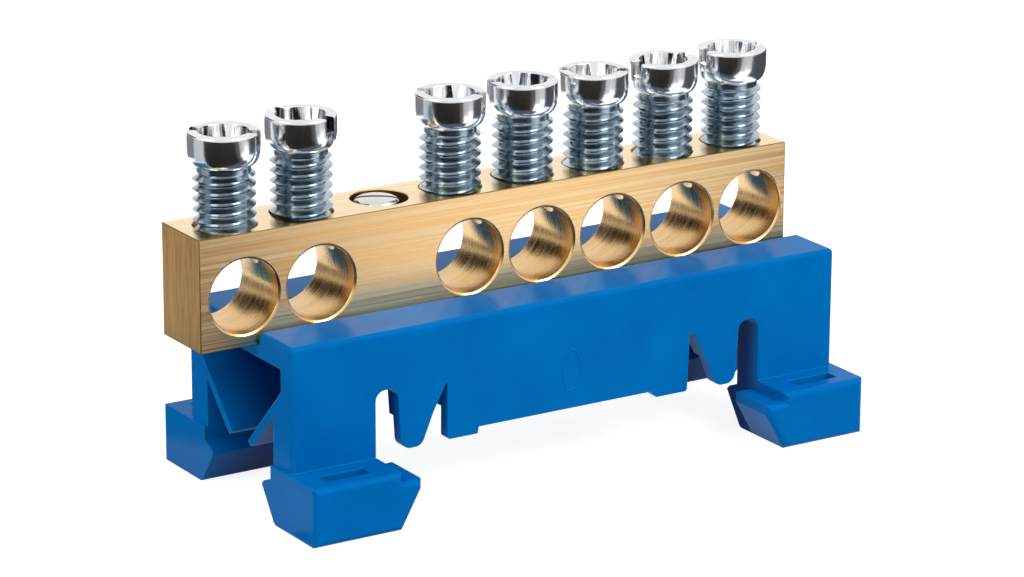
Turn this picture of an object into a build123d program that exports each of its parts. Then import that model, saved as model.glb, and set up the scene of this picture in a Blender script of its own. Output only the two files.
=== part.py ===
"""A busbar terminal block: a brass bar with wire holes and clamping screws on a moulded rail base.

Millimetres, +Z up. The feet stand on Z = 0, the bar runs along X and the wire holes along Y.
The origin is under the middle of the whole block.
"""
import os

from build123d import *

# Brass bar
bar_length = 54.2
bar_depth = 6.0
bar_height = 9.0
bar_edge_break = 0.12
bar_overhang = 4.9

# Wire holes, one at each place along the bar except the fixing place
place_count = 8
first_place = 3.85
last_place = 3.45
wire_hole_web = 0.8
wire_hole_height = 4.0

# Screw that holds the bar down, in the third place
fixing_place_index = 2
fixing_head_diameter = 3.5
fixing_head_height = 1.35
fixing_head_break = 0.25
fixing_head_stand = 0.2
fixing_pocket_clearance = 0.55
fixing_shank_diameter = 2.6
fixing_shank_clearance = 0.15
fixing_slot_width = 0.7
fixing_slot_depth = 0.6
fixing_grip = 3.4

# Clamping screws, with their heights above the bar and the turn of each slot
thread_diameter = 4.9
thread_length = 6.8
thread_clearance = 0.06
thread_end_chamfer = 0.3
head_height = 2.6
head_diameter = 5.66
head_rim_diameter = 5.24
head_foot_diameter = 4.9
head_barrel_bottom = 0.6
head_barrel_top = 2.22
head_cup_diameter = 3.5
head_cup_depth = 1.2
drive_slot_width = 0.95
drive_slot_depth = 1.1
drive_cross_length = 4.2
drive_cross_width = 0.8
drive_cross_depth = 1.5
screw_lifts = (4.8, 5.2, 5.1, 5.2, 5.1, 5.1, 5.2)
slot_turns = (-42, -65, -46, -17, -35, 7, -2)

# Moulded base: a channel with the bar's groove along its top
base_length = 50.7
base_width = 16.25
seat_height = 13.7
groove_depth = 1.0
groove_clearance = 0.3
plate_thickness = 1.0
wall_thickness = 1.6
skin_thickness = 1.0
skin_drop = 6.2
edge_round = 0.4
boss_diameter = 5.0
boss_length = 3.4
boss_floor = 0.6
boss_clearance = 0.04

# Rail between the legs
rail_width = 35.0
rail_clearance = 0.45
lip_thickness = 1.0
lip_clearance = 0.05

# Spring tabs and the skirt between them
window_width = 6.75
window_top_drop = 3.65
slot_width = 1.75
slot_top_round = 0.85
tab_point = 3.2
tab_tip_width = 1.8
tab_tip_round = 0.85
tab_shoulder = 5.15
tab_shoulder_drop = 6.25
tab_root = 6.5
notch_top_drop = 4.0
notch_roof = 0.7
skirt_rise = 0.62
skirt_pad_rise = 0.07
skirt_lap = 0.3
near_pad_width = 2.75
near_pad_slope = 0.1
far_pad_width = 3.15
far_pad_slope = 0.6
far_pad_lean = 0.2
pad_round = 0.25

# Legs, feet and hooks
leg_thickness = 2.85
foot_depth = 4.1
foot_top = 4.7
foot_proud = 0.3
foot_corner_round = 0.5
hook_top = 3.9
hook_reach = 1.75
hook_nose = 0.8
grip_reach = 1.4
grip_top = 3.55
grip_nose_top = 3.15
grip_nose = 2.8
grip_undercut = 0.55
pocket_end_wall = 1.4
pocket_rail_wall = 2.0
pocket_width = 1.3
pocket_depth = 1.6

# Sprung flaps that face each other inside the legs
flap_root_drop = 2.85
flap_gap = 2.5
flap_tip_height = 5.45
flap_thickness = 0.65
flap_tip_round = 0.28

# Places worked out from the sizes above
overall_length = bar_overhang + base_length + foot_proud
bar_left = -overall_length / 2
bar_middle = bar_left + bar_length / 2
bar_top = seat_height + bar_height
base_left = bar_left + bar_overhang
base_middle = base_left + base_length / 2
half_width = base_width / 2
plate_under = seat_height - plate_thickness
rail_gap = rail_width + 2 * rail_clearance
leg_width = (base_length - rail_gap) / 2
rail_left = base_left + leg_width
rail_right = rail_left + rail_gap
lip_top = hook_top + lip_thickness + lip_clearance
window_top = seat_height - window_top_drop
notch_top = seat_height - notch_top_drop
skirt_bottom = lip_top + skirt_rise
pad_bottom = lip_top + skirt_pad_rise
foot_outer = half_width + foot_depth
foot_end = base_left - foot_proud
leg_inner = half_width - leg_thickness
place_pitch = (bar_length - first_place - last_place) / (place_count - 1)
places = [bar_left + first_place + place_pitch * n for n in range(place_count)]
fixing_x = places[fixing_place_index]
wire_places = [x for x in places if x != fixing_x]
wire_hole_diameter = place_pitch - wire_hole_web
hole_axis_height = seat_height + wire_hole_height
shank_hole_diameter = fixing_shank_diameter + 2 * fixing_shank_clearance

os.makedirs("parts", exist_ok=True)


# Brass bar with cross-drilled wire holes, tapped screw holes and the fixing pocket
with BuildPart() as bar:
    with Locations((bar_middle, 0, seat_height)):
        Box(bar_length, bar_depth, bar_height, align=(Align.CENTER, Align.CENTER, Align.MIN))
    chamfer(bar.edges(), length=bar_edge_break)
    with BuildSketch(Plane.XZ) as wire_bores:
        with Locations(*[(x, hole_axis_height) for x in wire_places]):
            Circle(wire_hole_diameter / 2)
    extrude(amount=bar_depth, both=True, mode=Mode.SUBTRACT)
    with BuildSketch(Plane.XY.offset(hole_axis_height)) as screw_bores:
        with Locations(*[(x, 0) for x in wire_places]):
            Circle(thread_diameter / 2 + thread_clearance)
    extrude(amount=bar_height, mode=Mode.SUBTRACT)
    with Locations((fixing_x, 0, bar_top)):
        CounterBoreHole(
            radius=shank_hole_diameter / 2,
            counter_bore_radius=fixing_head_diameter / 2 + fixing_pocket_clearance,
            counter_bore_depth=fixing_head_height - fixing_head_stand,
            depth=bar_height,
        )
bar.part.label = "terminal_bar"
export_step(bar.part, "parts/terminal_bar.step")


# Fixing screw: a slotted cheese head in the bar's pocket and a shank that ends in the base's boss
fixing_head_top = bar_top + fixing_head_stand
fixing_seat = fixing_head_top - fixing_head_height
fixing_tip = seat_height - fixing_grip
with BuildPart() as fixing_screw:
    with BuildSketch(Plane.XY.offset(fixing_tip)):
        with Locations((fixing_x, 0)):
            Circle(fixing_shank_diameter / 2)
    extrude(amount=fixing_seat - fixing_tip)
    chamfer(fixing_screw.faces().sort_by(Axis.Z)[0].edges(), length=fixing_shank_diameter / 12)
    with BuildSketch(Plane.XY.offset(fixing_seat)):
        with Locations((fixing_x, 0)):
            Circle(fixing_head_diameter / 2)
    extrude(amount=fixing_head_height)
    chamfer(fixing_screw.faces().sort_by(Axis.Z)[-1].edges(), length=fixing_head_break)
    with BuildSketch(Plane.XY.offset(fixing_head_top)):
        with Locations((fixing_x, 0)):
            Rectangle(fixing_head_diameter * 1.1, fixing_slot_width, rotation=slot_turns[0])
    extrude(amount=-fixing_slot_depth, mode=Mode.SUBTRACT)
fixing_screw.part.label = "fixing_screw"
export_step(fixing_screw.part, "parts/fixing_screw.step")


# Clamping screws: cup-like barrel head with a slot through its rim and a cross in it, on an M5 shank
shank_radius = thread_diameter / 2
for number, (x, lift, turn) in enumerate(zip(wire_places, screw_lifts, slot_turns), start=1):
    seat = Plane(origin=(x, 0, bar_top + lift), x_dir=(1, 0, 0), z_dir=(0, 0, 1))
    side = Plane(origin=seat.origin, x_dir=(1, 0, 0), z_dir=(0, -1, 0))
    with BuildPart() as clamp_screw:
        with BuildSketch(side):
            with BuildLine():
                Polyline(
                    (0, head_height - head_cup_depth),
                    (0, -thread_length),
                    (shank_radius - thread_end_chamfer, -thread_length),
                    (shank_radius, -thread_length + thread_end_chamfer),
                    (shank_radius, -thread_clearance),
                    (head_foot_diameter / 2, 0),
                    (head_diameter / 2, head_barrel_bottom),
                    (head_diameter / 2, head_barrel_top),
                    (head_rim_diameter / 2, head_height),
                    (head_cup_diameter / 2, head_height),
                    (head_cup_diameter / 2, head_height - head_cup_depth),
                    (0, head_height - head_cup_depth),
                )
            make_face()
        revolve(axis=Axis(seat.origin, (0, 0, 1)))
        top = seat.offset(head_height)
        with BuildSketch(top):
            Rectangle(head_diameter * 1.1, drive_slot_width, rotation=turn)
        extrude(amount=-drive_slot_depth, mode=Mode.SUBTRACT)
        with BuildSketch(top):
            Rectangle(drive_cross_length, drive_cross_width, rotation=turn)
            Rectangle(drive_cross_length, drive_cross_width, rotation=turn + 90)
        extrude(amount=-drive_cross_depth, taper=8, mode=Mode.SUBTRACT)
    clamp_screw.part.label = f"terminal_screw_{number}"
    export_step(clamp_screw.part, f"parts/terminal_screw_{number}.step")


# One corner of the base, at the left end and the +Y side: leg, foot, hooks and sprung flap
slope = Vector(half_width - wall_thickness - flap_gap / 2, seat_height - flap_root_drop - flap_tip_height)
lean = slope.normalized()
across = Vector(lean.Y, -lean.X) * flap_thickness
flap_tip = Vector(flap_gap / 2, flap_tip_height)
flap_root = flap_tip + slope
wall_middle = half_width - skin_thickness / 2
with BuildPart() as corner:
    with BuildSketch(Plane.YZ.offset(foot_end)) as leg_section:
        with BuildLine():
            Polyline(
                (wall_middle, flap_root.Y),
                (wall_middle, 0),
                (leg_inner + grip_undercut, 0),
                (leg_inner - grip_reach, grip_nose),
                (leg_inner - grip_reach * 0.75, grip_nose_top),
                (leg_inner, grip_top),
                (leg_inner, flap_root.Y - (flap_root.X - leg_inner) * slope.Y / slope.X),
                (flap_root.X, flap_root.Y),
                close=True,
            )
        make_face()
        sole = leg_section.vertices().sort_by_distance((leg_inner + grip_undercut, 0))[0]
        fillet(sole, radius=foot_corner_round)
        with BuildSketch(mode=Mode.PRIVATE) as flap:
            with BuildLine():
                Polyline(flap_root, flap_tip, flap_tip + across, flap_root + across, close=True)
            make_face()
            fillet(flap.vertices().group_by(Axis.Y)[0], radius=flap_tip_round)
        add(flap.sketch)
    extrude(amount=leg_width + foot_proud)
    with Locations((foot_end, 0, foot_top)):
        Box(
            foot_proud,
            foot_outer,
            seat_height,
            align=(Align.MIN, Align.MIN, Align.MIN),
            mode=Mode.SUBTRACT,
        )
    with BuildSketch(Plane.XZ.offset(-foot_outer)) as foot_front:
        with BuildLine():
            Polyline(
                (foot_end, 0),
                (rail_left, 0),
                (rail_left + hook_reach, hook_top - hook_nose),
                (rail_left + hook_reach, hook_top),
                (rail_left, hook_top),
                (rail_left, foot_top),
                (foot_end, foot_top),
                close=True,
            )
        make_face()
    extrude(amount=foot_outer - wall_middle)
    fillet(corner.faces().sort_by(Axis.Y)[-1].edges(), radius=foot_corner_round)
    with BuildSketch(Plane.XY.offset(foot_top)):
        with Locations((base_left + pocket_end_wall, half_width + foot_depth / 2)):
            Rectangle(
                leg_width - pocket_end_wall - pocket_rail_wall,
                pocket_width,
                align=(Align.MIN, Align.CENTER),
            )
    extrude(amount=-pocket_depth, mode=Mode.SUBTRACT)


# Moulded base: the channel, its tabs and skirt, then the four corners and the boss
with BuildPart() as base:
    with BuildSketch(Plane.YZ.offset(base_left)) as channel:
        with BuildLine():
            Polyline(
                (0, seat_height),
                (bar_depth / 2 + groove_clearance, seat_height),
                (bar_depth / 2 + groove_clearance, seat_height + groove_depth),
                (half_width, seat_height + groove_depth),
                (half_width, 0),
                (half_width - skin_thickness, 0),
                (half_width - skin_thickness, seat_height - skin_drop),
                (half_width - wall_thickness, seat_height - skin_drop),
                (half_width - wall_thickness, plate_under),
                (0, plate_under),
                close=True,
            )
        make_face()
        brow = channel.vertices().sort_by_distance((half_width, seat_height + groove_depth))[0]
        fillet(brow, radius=edge_round)
        mirror(about=Plane.YZ)
    extrude(amount=base_length)
    uprights = base.edges().filter_by(Axis.Z).filter_by(lambda edge: edge.length > seat_height)
    fillet(uprights, radius=edge_round)

    with BuildSketch(Plane.XZ) as passage:
        with Locations((base_middle, 0)):
            Rectangle(rail_gap, window_top, align=(Align.CENTER, Align.MIN))
        with BuildSketch(mode=Mode.PRIVATE) as tab:
            with BuildLine():
                Polyline(
                    (rail_left + slot_width, seat_height),
                    (rail_left + tab_point - tab_tip_width / 2, lip_top),
                    (rail_left + tab_point + tab_tip_width / 2, lip_top),
                    (rail_left + tab_shoulder, seat_height - tab_shoulder_drop),
                    (rail_left + tab_root, window_top),
                    (rail_left + tab_root, seat_height),
                    close=True,
                )
            make_face()
            fillet(tab.vertices().group_by(Axis.Y)[0], radius=tab_tip_round)
        add(tab.sketch, mode=Mode.SUBTRACT)
        add(tab.sketch.mirror(Plane.YZ.offset(base_middle)), mode=Mode.SUBTRACT)
        skirt_left = rail_left + window_width - skirt_lap
        skirt_right = rail_right - window_width
        with BuildSketch(mode=Mode.PRIVATE) as skirt:
            with BuildLine():
                Polyline(
                    (skirt_left - notch_roof, seat_height),
                    (skirt_left - notch_roof, notch_top),
                    (skirt_left, notch_top),
                    (skirt_left, pad_bottom),
                    (skirt_left + near_pad_width, pad_bottom),
                    (skirt_left + near_pad_width + near_pad_slope, skirt_bottom),
                    (skirt_right - far_pad_width - far_pad_slope, skirt_bottom),
                    (skirt_right - far_pad_width, pad_bottom),
                    (skirt_right - far_pad_lean, pad_bottom),
                    (skirt_right, notch_top),
                    (skirt_right + notch_roof, notch_top),
                    (skirt_right + notch_roof, seat_height),
                    close=True,
                )
            make_face()
            lowest = skirt.vertices().group_by(Axis.Y)[0].sort_by(Axis.X)
            fillet([lowest[0], lowest[-1]], radius=pad_round)
        add(skirt.sketch, mode=Mode.SUBTRACT)
        slot_tops = passage.vertices().group_by(Axis.Y)[-1].sort_by(Axis.X)
        fillet(slot_tops[:2] + slot_tops[-2:], radius=slot_top_round)
    extrude(amount=foot_outer, both=True, mode=Mode.SUBTRACT)

    add(corner.part)
    mirror(corner.part, about=Plane.XZ)
    add(corner.part.mirror(Plane.YZ.offset(base_middle)))
    add(corner.part.mirror(Plane.YZ.offset(base_middle)).mirror(Plane.XZ))

    with BuildSketch(Plane.XY.offset(plate_under)):
        with Locations((fixing_x, 0)):
            Circle(boss_diameter / 2)
    extrude(amount=-boss_length)
    with BuildSketch(Plane.XY.offset(seat_height)):
        with Locations((fixing_x, 0)):
            Circle(fixing_shank_diameter / 2 + boss_clearance)
    extrude(amount=-(plate_thickness + boss_length - boss_floor), mode=Mode.SUBTRACT)
base.part.label = "mounting_base"
export_step(base.part, "parts/mounting_base.step")
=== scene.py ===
import math

import bpy
from mathutils import Matrix, Vector


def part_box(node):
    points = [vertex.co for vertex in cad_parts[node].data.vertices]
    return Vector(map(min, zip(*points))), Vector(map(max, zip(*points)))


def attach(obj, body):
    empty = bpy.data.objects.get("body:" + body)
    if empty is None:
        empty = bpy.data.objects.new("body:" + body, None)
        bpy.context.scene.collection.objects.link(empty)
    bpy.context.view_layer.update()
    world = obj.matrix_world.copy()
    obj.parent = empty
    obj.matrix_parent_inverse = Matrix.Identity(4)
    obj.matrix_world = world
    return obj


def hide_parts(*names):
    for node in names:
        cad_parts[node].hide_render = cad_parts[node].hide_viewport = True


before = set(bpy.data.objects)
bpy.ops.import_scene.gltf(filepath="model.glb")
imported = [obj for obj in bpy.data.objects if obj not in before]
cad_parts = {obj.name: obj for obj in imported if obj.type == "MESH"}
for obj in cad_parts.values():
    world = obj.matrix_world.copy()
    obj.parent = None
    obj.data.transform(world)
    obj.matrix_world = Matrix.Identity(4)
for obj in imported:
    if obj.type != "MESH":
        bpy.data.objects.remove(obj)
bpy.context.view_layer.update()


# Camera: a long lens that looks down a little on the front and the left end of the block, at the
# photograph's place and angle. The frame is 1024 by 577. Its place was fitted in millimetres.
MM = 0.001
camera_place = Vector((-173.21, -276.01, 114.91)) * MM
turn, dip, roll = math.radians(-32.378), math.radians(17.264), math.radians(0.244)
aim = (Matrix.Rotation(turn, 3, "Z") @ Matrix.Rotation(math.pi / 2 - dip, 3, "X")
       @ Matrix.Rotation(roll, 3, "Z"))
bpy.ops.object.camera_add(location=camera_place, rotation=aim.to_euler())
camera = bpy.context.object
camera.name = "camera"
camera.data.sensor_width = 36
camera.data.lens = 150.75
camera.data.clip_start = 0.01
bpy.context.scene.camera = camera
bpy.context.scene.view_settings.view_transform = "Standard"


# Floor and light: a white table in a white room, lit by one large soft box over the front right, a
# smaller one at the left and the room's own pale light. The room shows white to the camera and in
# reflections. Dark and grey cards round the block glow for reflections alone and cast no shade:
# painted reflections that show only in its shiny surfaces.
def node(tree, kind, **values):
    """Adds a node. Each value goes to the node's setting of that name, or else to its input."""
    made = tree.nodes.new(kind)
    for key, value in values.items():
        if hasattr(made, key):
            setattr(made, key, value)
        else:
            made.inputs[key.replace("_", " ")].default_value = value
    return made


def seen_white(tree):
    """One where the camera, a reflection or glass sees the surface, and nought for other light."""
    path = node(tree, "ShaderNodeLightPath")
    mirrored = node(tree, "ShaderNodeMath", operation="ADD")
    seen = node(tree, "ShaderNodeMath", operation="ADD", use_clamp=True)
    tree.links.new(path.outputs["Is Glossy Ray"], mirrored.inputs[0])
    tree.links.new(path.outputs["Is Transmission Ray"], mirrored.inputs[1])
    tree.links.new(path.outputs["Is Camera Ray"], seen.inputs[0])
    tree.links.new(mirrored.outputs[0], seen.inputs[1])
    return seen.outputs[0]


world = bpy.data.worlds.new("white_room")
bpy.context.scene.world = world
world.use_nodes = True
tree = world.node_tree
tree.nodes.clear()
room_light = node(tree, "ShaderNodeBackground", Color=(0.93, 0.96, 1.0, 1), Strength=0.55)
room_seen = node(tree, "ShaderNodeBackground", Color=(1, 1, 1, 1), Strength=1.0)
room = node(tree, "ShaderNodeMixShader")
tree.links.new(seen_white(tree), room.inputs[0])
tree.links.new(room_light.outputs[0], room.inputs[1])
tree.links.new(room_seen.outputs[0], room.inputs[2])
tree.links.new(room.outputs[0], node(tree, "ShaderNodeOutputWorld").inputs[0])


def material(name):
    """A new material with an empty node tree, and the tree."""
    made = bpy.data.materials.new(name)
    made.use_nodes = True
    made.node_tree.nodes.clear()
    return made, made.node_tree


floor_radius, floor_grey, floor_glow = 1.5, 0.56, 0.86
bpy.ops.mesh.primitive_circle_add(vertices=64, radius=floor_radius, fill_type="NGON",
                                  location=(0, 0, 0))
floor = bpy.context.object
floor.name = "floor"
floor_white, tree = material("floor_white")
paint = node(tree, "ShaderNodeBsdfDiffuse", Color=(floor_grey, floor_grey, floor_grey, 1))
glow = node(tree, "ShaderNodeEmission", Color=(1, 1, 1, 1))
lift = node(tree, "ShaderNodeMath", operation="MULTIPLY")
lift.inputs[1].default_value = floor_glow
both = node(tree, "ShaderNodeAddShader")
tree.links.new(seen_white(tree), lift.inputs[0])
tree.links.new(lift.outputs[0], glow.inputs["Strength"])
tree.links.new(paint.outputs[0], both.inputs[0])
tree.links.new(glow.outputs[0], both.inputs[1])
tree.links.new(both.outputs[0], node(tree, "ShaderNodeOutputMaterial").inputs[0])
floor.data.materials.append(floor_white)


def card(name, first, last, near, far, low, high, shade):
    """A card of one grey bent round the block, seen only by shiny surfaces as a painted reflection.
    It spans two azimuths in degrees, and from its near and low edge to its far and high one in
    metres."""
    bpy.ops.object.select_all(action="DESELECT")
    bpy.ops.mesh.primitive_plane_add(size=1, location=(0, 0, 0))
    made = bpy.context.object
    made.name = name
    bpy.ops.object.mode_set(mode="EDIT")
    bpy.ops.mesh.select_all(action="SELECT")
    bpy.ops.mesh.subdivide(number_cuts=23)
    bpy.ops.object.mode_set(mode="OBJECT")
    for corner in made.data.vertices:
        azimuth = math.radians(first + (last - first) * (corner.co.x + 0.5))
        reach = near + (far - near) * (corner.co.y + 0.5)
        height = low + (high - low) * (corner.co.y + 0.5)
        corner.co = (reach * math.cos(azimuth), reach * math.sin(azimuth), height)
    reflected_grey, tree = material(name)
    tree.links.new(node(tree, "ShaderNodeEmission", Color=(*shade, 1)).outputs[0],
                   node(tree, "ShaderNodeOutputMaterial").inputs[0])
    made.data.materials.append(reflected_grey)
    made.visible_camera = made.visible_diffuse = False
    made.visible_shadow = made.visible_transmission = False


# Each card shows one painted grey, in reflections only.
table_edge, on_table = 1.4, 0.0002
for name, first, last, near, far, shade in (
        ("card_front", 179, 266, 0.034, table_edge, (0.025, 0.022, 0.02)),
        ("card_front_edge", 266, 280, 0.034, table_edge, (0.11, 0.10, 0.10)),
        ("card_front_middle", 280, 296, 0.080, table_edge, (0.60, 0.60, 0.62)),
        ("card_front_right", 296, 316, 0.100, table_edge, (0.66, 0.66, 0.68)),
        ("card_right", 316, 412, 0.055, table_edge, (0.08, 0.09, 0.10)),
        ("card_under_front", 200, 296, 0.016, 0.034, (0.12, 0.11, 0.11)),
        ("card_far_left", 146, 179, 0.062, table_edge, (0.62, 0.64, 0.67)),
        ("card_left", 98, 146, 0.075, table_edge, (0.24, 0.25, 0.26)),
        ("card_under_left", 125, 178, 0.030, 0.060, (0.03, 0.18, 0.26))):
    card(name, first, last, near, far, on_table, on_table, shade)
card("card_back", 95, 145, 0.5, 0.5, 0.06, 0.34, (0.03, 0.025, 0.02))


def soft_box(name, place, size, power, colour):
    """A square lamp that points at the middle of the block."""
    bpy.ops.object.light_add(type="AREA", location=place)
    lamp = bpy.context.object
    lamp.name = name
    lamp.data.size = size
    lamp.data.energy = power
    lamp.data.color = colour
    block_middle = Vector((0, 0, 0.015))
    lamp.rotation_euler = (Vector(place) - block_middle).to_track_quat("Z", "Y").to_euler()


soft_box("soft_box_front", (0.22, -0.42, 0.42), 0.30, 2.0, (1.0, 0.985, 0.96))
soft_box("soft_box_left", (-0.45, -0.05, 0.30), 0.25, 0.7, (0.95, 0.98, 1.0))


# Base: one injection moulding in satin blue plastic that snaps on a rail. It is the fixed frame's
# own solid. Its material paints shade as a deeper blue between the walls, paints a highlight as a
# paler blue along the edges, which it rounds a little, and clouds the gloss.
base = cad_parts["mounting_base"]
plastic, tree = material("blue_moulded_plastic")
place = node(tree, "ShaderNodeTexCoord").outputs["Object"]
skin = node(tree, "ShaderNodeBsdfPrincipled")
skin.inputs["Specular IOR Level"].default_value = 0.04
skin.inputs["Specular Tint"].default_value = (0.05, 0.5, 1.0, 1)

cloud = node(tree, "ShaderNodeTexNoise", Scale=160.0, Detail=3.0)
tint = node(tree, "ShaderNodeValToRGB")
for stop, position, blue in zip(tint.color_ramp.elements, (0.3, 0.7),
                                ((0.0, 0.148, 0.47, 1), (0.0, 0.180, 0.545, 1))):
    stop.position = position
    stop.color = blue
tree.links.new(place, cloud.inputs["Vector"])
tree.links.new(cloud.outputs["Fac"], tint.inputs["Fac"])

# The painted shade fades in, in millimetres from the middle, between the outer and inner distances.
base_low, base_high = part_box("mounting_base")
from_middle = node(tree, "ShaderNodeVectorMath", operation="SUBTRACT")
from_middle.inputs[1].default_value = ((base_low.x + base_high.x) / 2, 0, 0)
spot = node(tree, "ShaderNodeSeparateXYZ")
tree.links.new(place, from_middle.inputs[0])
tree.links.new(from_middle.outputs[0], spot.inputs[0])
shade_strength = 0.7
for axis, outer, inner in (("X", 25.2, 21.0), ("Y", 7.6, 6.4), ("Z", 12.9, 12.3)):
    distance = node(tree, "ShaderNodeMath", operation="ABSOLUTE")
    share = node(tree, "ShaderNodeMapRange", From_Min=outer * MM, From_Max=inner * MM)
    shares = node(tree, "ShaderNodeMath", operation="MULTIPLY")
    tree.links.new(spot.outputs[axis], distance.inputs[0])
    tree.links.new(distance.outputs[0], share.inputs["Value"])
    tree.links.new(share.outputs["Result"], shares.inputs[1])
    if axis == "X":
        shares.inputs[0].default_value = shade_strength
    else:
        tree.links.new(inside, shares.inputs[0])
    inside = shares.outputs[0]
# Painted shade: the deep blue is mixed in by that share.
painted_shade_mix = node(tree, "ShaderNodeMix", data_type="RGBA")
painted_shade_mix.inputs[7].default_value = (0.0, 0.004, 0.14, 1)
tree.links.new(inside, painted_shade_mix.inputs["Factor"])
tree.links.new(tint.outputs["Color"], painted_shade_mix.inputs[6])

# Painted highlight: the blue turns paler along the edges, where the rounded normal leaves the face's
# own.
edge = node(tree, "ShaderNodeBevel", Radius=0.14 * MM, samples=8)
flat = node(tree, "ShaderNodeNewGeometry")
turn_off = node(tree, "ShaderNodeVectorMath", operation="DOT_PRODUCT")
edge_highlight = node(tree, "ShaderNodeMapRange", From_Min=0.99, From_Max=0.80, To_Min=0.0, To_Max=0.85)
highlight_mix = node(tree, "ShaderNodeMix", data_type="RGBA")
highlight_mix.inputs[7].default_value = (0.005, 0.29, 0.66, 1)
tree.links.new(edge.outputs["Normal"], turn_off.inputs[0])
tree.links.new(flat.outputs["Normal"], turn_off.inputs[1])
tree.links.new(turn_off.outputs["Value"], edge_highlight.inputs["Value"])
tree.links.new(edge_highlight.outputs["Result"], highlight_mix.inputs["Factor"])
tree.links.new(painted_shade_mix.outputs[2], highlight_mix.inputs[6])
tree.links.new(highlight_mix.outputs[2], skin.inputs["Base Color"])

sheen = node(tree, "ShaderNodeMapRange", To_Min=0.18, To_Max=0.30)
grain = node(tree, "ShaderNodeTexNoise", Scale=2600.0, Detail=2.0)
bump = node(tree, "ShaderNodeBump", Strength=0.12, Distance=0.03 * MM)
tree.links.new(cloud.outputs["Fac"], sheen.inputs["Value"])
tree.links.new(sheen.outputs["Result"], skin.inputs["Roughness"])
tree.links.new(place, grain.inputs["Vector"])
tree.links.new(grain.outputs["Fac"], bump.inputs["Height"])
tree.links.new(edge.outputs["Normal"], bump.inputs["Normal"])
tree.links.new(bump.outputs["Normal"], skin.inputs["Normal"])
tree.links.new(skin.outputs[0], node(tree, "ShaderNodeOutputMaterial").inputs[0])
base.material_slots[0].material = plastic


# Mould mark: a plain oval ring that stands up a little on the front wall. It is moulded with the
# base, in the same plastic. A ring one millimetre across is drawn out to the oval's size.
mark_place = Vector((2.25, -8.125, 8.7)) * MM
mark_width, mark_height, mark_line = 1.7, 3.4, 0.09
bpy.ops.object.select_all(action="DESELECT")
bpy.ops.mesh.primitive_torus_add(
    major_segments=48, minor_segments=8, major_radius=0.5 * MM, minor_radius=mark_line / 2 * MM,
    rotation=(math.pi / 2, 0, 0), location=mark_place)
mark = bpy.context.object
mark.name = "mould_mark"
bpy.ops.object.transform_apply(location=True, rotation=True, scale=True)
bpy.ops.object.mode_set(mode="EDIT")
bpy.ops.mesh.select_all(action="SELECT")
bpy.ops.transform.resize(value=(mark_width, 1, mark_height), center_override=mark_place)
bpy.ops.object.mode_set(mode="OBJECT")
bpy.ops.object.shade_smooth()
mark.data.materials.append(plastic)
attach(mark, "block")


# Bar: a length of drawn brass, sawn off at the ends, with the wire holes drilled through it and the
# screw holes tapped from above. The drawing leaves fine lines along it, the saw upright ones on the
# ends, and the drill rings in the holes.
def tool_marks():
    """A shared effect: fine lines left by a tool, and larger patches, both along one direction."""
    group = bpy.data.node_groups.new("tool_marks", "ShaderNodeTree")
    for name, kind in (("Stretch", "NodeSocketVector"), ("Sharpness", "NodeSocketFloat")):
        group.interface.new_socket(name, in_out="INPUT", socket_type=kind)
    for name in ("Lines", "Patches"):
        group.interface.new_socket(name, in_out="OUTPUT", socket_type="NodeSocketFloat")
    start = node(group, "NodeGroupInput")
    end = node(group, "NodeGroupOutput")
    place = node(group, "ShaderNodeTexCoord").outputs["Object"]
    stretched = node(group, "ShaderNodeVectorMath", operation="MULTIPLY")
    lines = node(group, "ShaderNodeTexNoise", Scale=1.0, Detail=5.0, Roughness=0.65)
    contrast = node(group, "ShaderNodeMapRange", clamp=True)
    low = node(group, "ShaderNodeMath", operation="SUBTRACT")
    high = node(group, "ShaderNodeMath", operation="ADD")
    low.inputs[0].default_value = high.inputs[0].default_value = 0.5
    wide = node(group, "ShaderNodeVectorMath", operation="SCALE", Scale=0.12)
    patches = node(group, "ShaderNodeTexNoise", Scale=1.0, Detail=2.0)
    link = group.links.new
    link(place, stretched.inputs[0])
    link(start.outputs["Stretch"], stretched.inputs[1])
    link(stretched.outputs[0], lines.inputs["Vector"])
    link(start.outputs["Sharpness"], low.inputs[1])
    link(start.outputs["Sharpness"], high.inputs[1])
    link(lines.outputs["Fac"], contrast.inputs["Value"])
    link(low.outputs[0], contrast.inputs["From Min"])
    link(high.outputs[0], contrast.inputs["From Max"])
    link(contrast.outputs["Result"], end.inputs["Lines"])
    link(stretched.outputs[0], wide.inputs[0])
    link(wide.outputs[0], patches.inputs["Vector"])
    link(patches.outputs["Fac"], end.inputs["Patches"])
    return group


marks = tool_marks()


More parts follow.
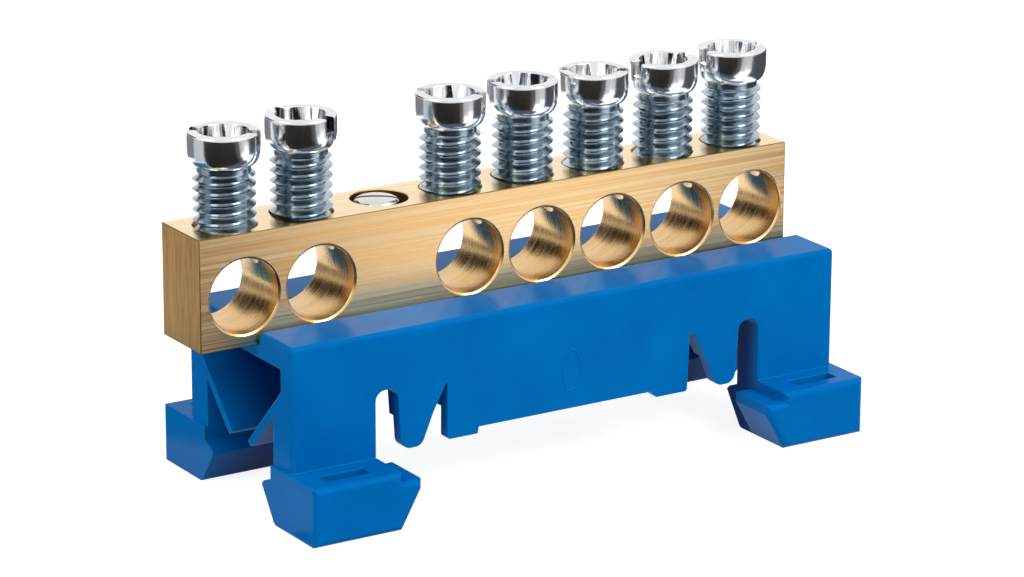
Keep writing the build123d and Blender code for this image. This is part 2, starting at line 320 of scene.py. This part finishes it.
def worked_metal(name, dark, light, stretch, sharpness, roughness, depth, weights=(0.6, 0.45)):
    """A bare metal whose colour, gloss and surface follow the marks of its tool. The stretch is
    the marks' fineness each way, the depth is theirs in millimetres, and the weights say how much
    the lines and the patches lighten the colour."""
    made, tree = material(name)
    effect = node(tree, "ShaderNodeGroup", node_tree=marks)
    effect.inputs["Stretch"].default_value = stretch
    effect.inputs["Sharpness"].default_value = sharpness
    shade = node(tree, "ShaderNodeMix", data_type="RGBA")
    shade.inputs[6].default_value = (*dark, 1)
    shade.inputs[7].default_value = (*light, 1)
    amount = node(tree, "ShaderNodeMath", operation="MULTIPLY_ADD")
    part = node(tree, "ShaderNodeMath", operation="MULTIPLY")
    amount.inputs[1].default_value, part.inputs[1].default_value = weights
    gloss = node(tree, "ShaderNodeMapRange", To_Min=roughness[0], To_Max=roughness[1])
    bump = node(tree, "ShaderNodeBump", Strength=0.6, Distance=depth * MM)
    metal = node(tree, "ShaderNodeBsdfPrincipled", Metallic=1.0)
    link = tree.links.new
    link(effect.outputs["Patches"], part.inputs[0])
    link(effect.outputs["Lines"], amount.inputs[0])
    link(part.outputs[0], amount.inputs[2])
    link(amount.outputs[0], shade.inputs["Factor"])
    link(shade.outputs[2], metal.inputs["Base Color"])
    link(effect.outputs["Lines"], gloss.inputs["Value"])
    link(gloss.outputs["Result"], metal.inputs["Roughness"])
    link(effect.outputs["Lines"], bump.inputs["Height"])
    link(bump.outputs["Normal"], metal.inputs["Normal"])
    link(metal.outputs[0], node(tree, "ShaderNodeOutputMaterial").inputs[0])
    return made


drawn = worked_metal("drawn_brass", (0.88, 0.47, 0.17), (1.0, 0.77, 0.43), (30, 8200, 8200),
                     0.08, (0.30, 0.42), 0.003, (0.75, 0.4))
# Painted light: the top's brass is a lighter copy of the drawn brass.
lit_top = worked_metal("lit_top_brass", (0.88, 0.60, 0.30), (1.0, 0.84, 0.56), (30, 5200, 5200),
                      0.16, (0.14, 0.26), 0.003)
sawn = worked_metal("sawn_brass", (0.32, 0.17, 0.045), (0.88, 0.51, 0.18), (4200, 3600, 260),
                    0.18, (0.34, 0.5), 0.02)
drilled = worked_metal("drilled_brass", (0.56, 0.33, 0.12), (0.98, 0.67, 0.33), (300, 6500, 300),
                       0.16, (0.18, 0.32), 0.007)
# Painted shade in the screw pocket and a painted dark reflection along the bar's edges.
painted_shade_brass = worked_metal("brass_painted_shade", (0.16, 0.085, 0.025), (0.44, 0.26, 0.09), (900, 900, 900),
                      0.25, (0.3, 0.45), 0.01)


def turned(profile, name, vertices=96):
    """A turned solid: a ring that is drawn up through each radius and height of the profile, in
    millimetres."""
    bpy.ops.object.select_all(action="DESELECT")
    radius, height = profile[0]
    bpy.ops.mesh.primitive_circle_add(vertices=vertices, radius=radius * MM, fill_type="NGON",
                                      location=(0, 0, height * MM))
    piece = bpy.context.object
    piece.name = name
    bpy.ops.object.transform_apply(location=True, rotation=True, scale=True)
    bpy.ops.object.mode_set(mode="EDIT")
    bpy.ops.mesh.select_all(action="SELECT")
    for next_radius, next_height in profile[1:]:
        bpy.ops.mesh.extrude_region_move(
            TRANSFORM_OT_translate={"value": (0, 0, (next_height - height) * MM)})
        ratio = next_radius / radius
        bpy.ops.transform.resize(value=(ratio, ratio, 1), center_override=(0, 0, next_height * MM))
        radius, height = next_radius, next_height
    bpy.ops.mesh.select_all(action="SELECT")
    bpy.ops.mesh.normals_make_consistent(inside=False)
    bpy.ops.object.mode_set(mode="OBJECT")
    return piece


def picked(piece):
    """Selects one piece alone, for the operators that follow."""
    bpy.ops.object.select_all(action="DESELECT")
    piece.select_set(True)
    bpy.context.view_layer.objects.active = piece


def combined(piece, other, how):
    """Joins, cuts or trims the piece with the other, which is then used up."""
    picked(piece)
    step = piece.modifiers.new(how, "BOOLEAN")
    step.operation = how
    step.object = other
    step.solver = "EXACT"
    bpy.ops.object.modifier_apply(modifier=step.name)
    bpy.data.objects.remove(other)


def placed(piece, place, lean=(0, 0, 0)):
    """Turns a piece and puts it at its place, in millimetres, with its origin left at nought."""
    picked(piece)
    piece.rotation_euler = lean
    piece.location = Vector(place) * MM
    bpy.ops.object.transform_apply(location=True, rotation=True, scale=True)
    return piece


bar_low, bar_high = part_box("terminal_bar")
bar_edge = 0.07
bpy.ops.object.select_all(action="DESELECT")
bpy.ops.mesh.primitive_cube_add(size=1, location=(bar_low + bar_high) / 2)
bar = bpy.context.object
bar.name = "brass_bar"
bar.scale = bar_high - bar_low
bpy.ops.object.transform_apply(location=True, rotation=True, scale=True)
bpy.ops.object.mode_set(mode="EDIT")
bpy.ops.mesh.select_all(action="SELECT")
bpy.ops.mesh.bevel(offset=bar_edge * MM, segments=2, affect="EDGES")
bpy.ops.object.mode_set(mode="OBJECT")

hole_radius, hole_height, hole_rim = 2.95, 17.7, 0.2
face_out, drill_out = 3, 3.2
rim_steps = ((hole_rim, 0), (0.35 * hole_rim, 0.35 * hole_rim), (0.1 * hole_rim, 0.65 * hole_rim),
             (0, hole_rim))
front_half = [(hole_radius + out, along - face_out) for out, along in rim_steps]
back_half = [(radius, -along) for radius, along in reversed(front_half)]
drill = ([(hole_radius + hole_rim, -drill_out)] + front_half + back_half
         + [(hole_radius + hole_rim, drill_out)])
bore_radius, bore_rim = 2.49, 2.49 + 0.05
tap = ((bore_radius, hole_height - 0.5), (bore_radius, 22.62), (bore_rim, 22.7), (bore_rim, 23))
screw_count = 7
for number in range(1, screw_count + 1):
    low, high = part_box(f"terminal_screw_{number}")
    screw_x = (low.x + high.x) / 2 / MM
    across = placed(turned(drill, "drill"), (screw_x, 0, hole_height), (math.pi / 2, 0, 0))
    combined(bar, across, "DIFFERENCE")
    combined(bar, placed(turned(tap, "tap"), (screw_x, 0, 0)), "DIFFERENCE")

low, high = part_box("fixing_screw")
fixing_x = (low.x + high.x) / 2 / MM
shank_hole = turned(((1.45, 13), (1.45, 22)), "shank_hole")
combined(bar, placed(shank_hole, (fixing_x, 0, 0)), "DIFFERENCE")
pocket_x, pocket_y = fixing_x + 0.3, 0.15
pocket = turned(((2.3, 21.55), (2.3, 22.64), (2.36, 22.7), (2.36, 23)), "pocket")
combined(bar, placed(pocket, (pocket_x, pocket_y, 0)), "DIFFERENCE")
picked(bar)
bpy.ops.object.shade_smooth_by_angle(angle=math.radians(20))

# A face whose middle is near one side of the bar lies on that side. One that is near none is in a
# hole, and one that is near two is on an edge.
bar_finishes = (drawn, sawn, drilled, painted_shade_brass, lit_top)
bar.data.materials.clear()
for finish in bar_finishes:
    bar.data.materials.append(finish)
near_side, pocket_reach, pocket_floor, square, facing = 0.2, 2.8, 21.4, 0.99, 0.9
for face in bar.data.polygons:
    sides = sum(min(here - low, high - here) < near_side * MM
                for low, here, high in zip(bar_low, face.center, bar_high))
    in_pocket = (not sides and abs(face.center.x / MM - fixing_x) < pocket_reach
                 and face.center.z > pocket_floor * MM)
    # Faces in the pocket or on an edge take the painted shade.
    if in_pocket or sides > 1:
        finish = painted_shade_brass
    elif not sides or max(abs(part) for part in face.normal) < square:
        finish = drilled
    elif abs(face.normal.x) > facing:
        finish = sawn
    # Faces on the top take the lighter brass of painted light.
    elif face.normal.z > facing:
        finish = lit_top
    else:
        finish = drawn
    face.material_index = bar_finishes.index(finish)
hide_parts("terminal_bar")
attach(bar, "block")


# Screw that holds the bar on its base: a small nickel-plated cheese head with a slot, in a pocket
# in the bar's top. Its shank goes down through the bar into the base.
nickel = worked_metal("nickel_plate", (0.62, 0.61, 0.58), (0.86, 0.85, 0.82), (900, 900, 900),
                      0.3, (0.12, 0.22), 0.006)


def block(size, place, turn=0, taper=0):
    """A cutter: a straight block, whose foot is drawn in by the taper on each side."""
    bpy.ops.object.select_all(action="DESELECT")
    bpy.ops.mesh.primitive_cube_add(size=1, location=(0, 0, 0))
    piece = bpy.context.object
    piece.scale = Vector(size) * MM
    bpy.ops.object.transform_apply(location=True, rotation=True, scale=True)
    for corner in piece.data.vertices:
        if corner.co.z < 0:
            corner.co.x -= math.copysign(taper * MM, corner.co.x)
            corner.co.y -= math.copysign(taper * MM, corner.co.y)
    return placed(piece, place, (0, 0, turn))


bar_screw = turned((
    (1.1, 10.3), (1.3, 10.5), (1.3, 21.55), (1.6, 21.55), (1.72, 21.6), (1.75, 21.7), (1.75, 22.5),
    (1.71, 22.62), (1.6, 22.73), (1.4, 22.81), (1.1, 22.86), (0.7, 22.89), (0.3, 22.9)),
    "bar_fixing_screw")
driver_slot = block((4.2, 0.4, 0.8), (0, 0, 22.9), math.radians(-32))
combined(bar_screw, driver_slot, "DIFFERENCE")
placed(bar_screw, (fixing_x, 0, 0))
bpy.ops.object.shade_smooth_by_angle(angle=math.radians(32))
bar_screw.data.materials.clear()
bar_screw.data.materials.append(nickel)
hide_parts("fixing_screw")
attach(bar_screw, "block")


# Terminal screws: seven M5 screws of zinc-plated steel, each with a barrel head that has a slot
# across its rim and a cross in its middle. The thread is rolled and runs out in a thin neck under
# the head. One is modelled and the others are copies, each turned as it stands.
pitch, crest, root, turns = 0.8, 2.45, 1.97, 11
head_height = 2.6
tooth = ((root, 0), (root + 0.02, 0.14), (root + 0.08, 0.22), (crest - 0.05, 0.52), (crest, 0.56),
         (crest - 0.05, 0.60), (root + 0.08, 0.90), (root + 0.02, 0.98), (root, 1))
bpy.ops.object.select_all(action="DESELECT")
bpy.ops.mesh.primitive_circle_add(vertices=len(tooth), radius=1 * MM, fill_type="NOTHING",
                                  location=(0, 0, 0))
thread = bpy.context.object
thread.name = "thread"
bpy.ops.object.mode_set(mode="EDIT")
bpy.ops.mesh.select_mode(type="EDGE")
bpy.ops.mesh.select_all(action="DESELECT")
bpy.ops.object.mode_set(mode="OBJECT")
for side in thread.data.edges:
    side.select = set(side.vertices) == {0, len(tooth) - 1}
bpy.ops.object.mode_set(mode="EDIT")
bpy.ops.mesh.delete(type="EDGE_FACE")
bpy.ops.mesh.select_mode(type="VERT")
bpy.ops.object.mode_set(mode="OBJECT")
for corner, (radius, share) in zip(thread.data.vertices, tooth):
    corner.co = Vector((radius, 0, pitch * (share - turns + 0.5))) * MM
rolling = thread.modifiers.new("rolling", "SCREW")
rolling.angle = math.tau
rolling.screw_offset = pitch * MM
rolling.iterations = turns
rolling.steps = rolling.render_steps = 64
rolling.use_merge_vertices = True
rolling.merge_threshold = 1e-6
bpy.ops.object.modifier_apply(modifier=rolling.name)
same_place = 0.001 * MM
bpy.ops.object.mode_set(mode="EDIT")
bpy.ops.mesh.select_all(action="SELECT")
bpy.ops.mesh.remove_doubles(threshold=same_place)
bpy.ops.mesh.fill_holes(sides=0)
bpy.ops.mesh.select_all(action="SELECT")
bpy.ops.mesh.normals_make_consistent(inside=False)
bpy.ops.object.mode_set(mode="OBJECT")
sleeve = turned(((2.1, -6.8), (2.52, -6.45), (2.52, -0.8), (2.05, -0.5), (2.05, -0.4)), "sleeve")
combined(thread, sleeve, "INTERSECT")

head = turned((
    (1.9, -6.5), (1.9, -0.7), (2.1, -0.5), (2.1, -0.12), (2.24, -0.02), (2.42, 0.06), (2.58, 0.24),
    (2.70, 0.5), (2.79, 0.86), (2.825, 1.25), (2.83, 1.7), (2.83, 2.3), (2.82, 2.47), (2.785, 2.555),
    (2.74, 2.59), (2.68, 2.60), (2.05, 2.60), (1.97, 2.57), (1.93, 2.49), (1.88, 1.56), (1.80, 1.44),
    (1.65, 1.4), (0.5, 1.4)), "screw_head")
combined(head, thread, "UNION")
combined(head, block((6.4, 0.95, 2.2), (0, 0, head_height)), "DIFFERENCE")
for quarter in (0, math.pi / 2):
    cross_arm = block((4.26, 0.86, 1.7), (0, 0, 1.95), quarter, 0.24)
    combined(head, cross_arm, "DIFFERENCE")


def round_edges(piece, width, limit, above):
    """Rounds each edge that is sharper than the limit and above a height, and smooths the rest."""
    picked(piece)
    bpy.ops.object.mode_set(mode="EDIT")
    bpy.ops.mesh.select_mode(type="EDGE")
    bpy.ops.mesh.select_all(action="SELECT")
    bpy.ops.mesh.remove_doubles(threshold=same_place)
    bpy.ops.mesh.select_all(action="DESELECT")
    bpy.ops.mesh.edges_select_sharp(sharpness=math.radians(limit))
    bpy.ops.object.mode_set(mode="OBJECT")
    corners = piece.data.vertices
    for side in piece.data.edges:
        side.select = side.select and min(corners[end].co.z for end in side.vertices) > above
    for corner in corners:
        corner.select = False
    for face in piece.data.polygons:
        face.select = False
    bpy.ops.object.mode_set(mode="EDIT")
    bpy.ops.mesh.bevel(offset=width, segments=2, affect="EDGES", clamp_overlap=True)
    bpy.ops.mesh.select_mode(type="VERT")
    bpy.ops.object.mode_set(mode="OBJECT")
    bpy.ops.object.shade_smooth_by_angle(angle=math.radians(limit))


round_edges(head, width=0.05 * MM, limit=38, above=1.0 * MM)

zinc = worked_metal("zinc_plate", (0.58, 0.61, 0.64), (0.96, 0.97, 0.98), (1800, 1800, 260),
                    0.26, (0.10, 0.2), 0.006)
# The thread's zinc is darker: a real blue tint of its plating, and painted shade in its grooves.
thread_tint_and_shade = worked_metal("zinc_thread", (0.10, 0.145, 0.18), (0.68, 0.80, 0.89), (500, 500, 3200),
                      0.22, (0.14, 0.26), 0.008)
# Painted shade: very dark zinc with light upright streaks on the upright walls of the cup and slot.
recess_shade = worked_metal("zinc_recess", (0.01, 0.012, 0.016), (0.92, 0.94, 0.96), (1300, 1300, 120),
                       0.09, (0.12, 0.3), 0.012, (1.0, 0.0))
screw_finishes = (zinc, thread_tint_and_shade, recess_shade)
head.data.materials.clear()
for finish in screw_finishes:
    head.data.materials.append(finish)
thread_top, steep = -0.3, 0.5
cup_radius, cup_top = 1.99, 2.56
slot_side, slot_inner, slot_outer, slot_top = 0.5, 1.7, 2.8, 2.54
for face in head.data.polygons:
    x, y, z = face.center / MM
    in_cup = math.hypot(x, y) < cup_radius and z < cup_top
    in_slot = abs(y) < slot_side and slot_inner < abs(x) < slot_outer and z < slot_top
    if z < thread_top:
        finish = thread_tint_and_shade
    # Upright walls in the cup and slot take the painted shade.
    elif abs(face.normal.z) < steep and (in_cup or in_slot):
        finish = recess_shade
    else:
        finish = zinc
    face.material_index = screw_finishes.index(finish)

slot_turns = (-42, -65, -46, -17, -35, 7, -2)
for number, slot_turn in enumerate(slot_turns, 1):
    low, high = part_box(f"terminal_screw_{number}")
    seat = Vector(((low.x + high.x) / 2, (low.y + high.y) / 2, high.z - head_height * MM))
    turned_slot = Matrix.Rotation(math.radians(slot_turn), 4, "Z")
    screw = head.copy()
    screw.data = head.data.copy()
    screw.name = f"zinc_screw_{number}"
    bpy.context.scene.collection.objects.link(screw)
    screw.data.transform(Matrix.Translation(seat) @ turned_slot)
    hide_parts(f"terminal_screw_{number}")
    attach(screw, f"screw_{number}")
bpy.data.objects.remove(head)
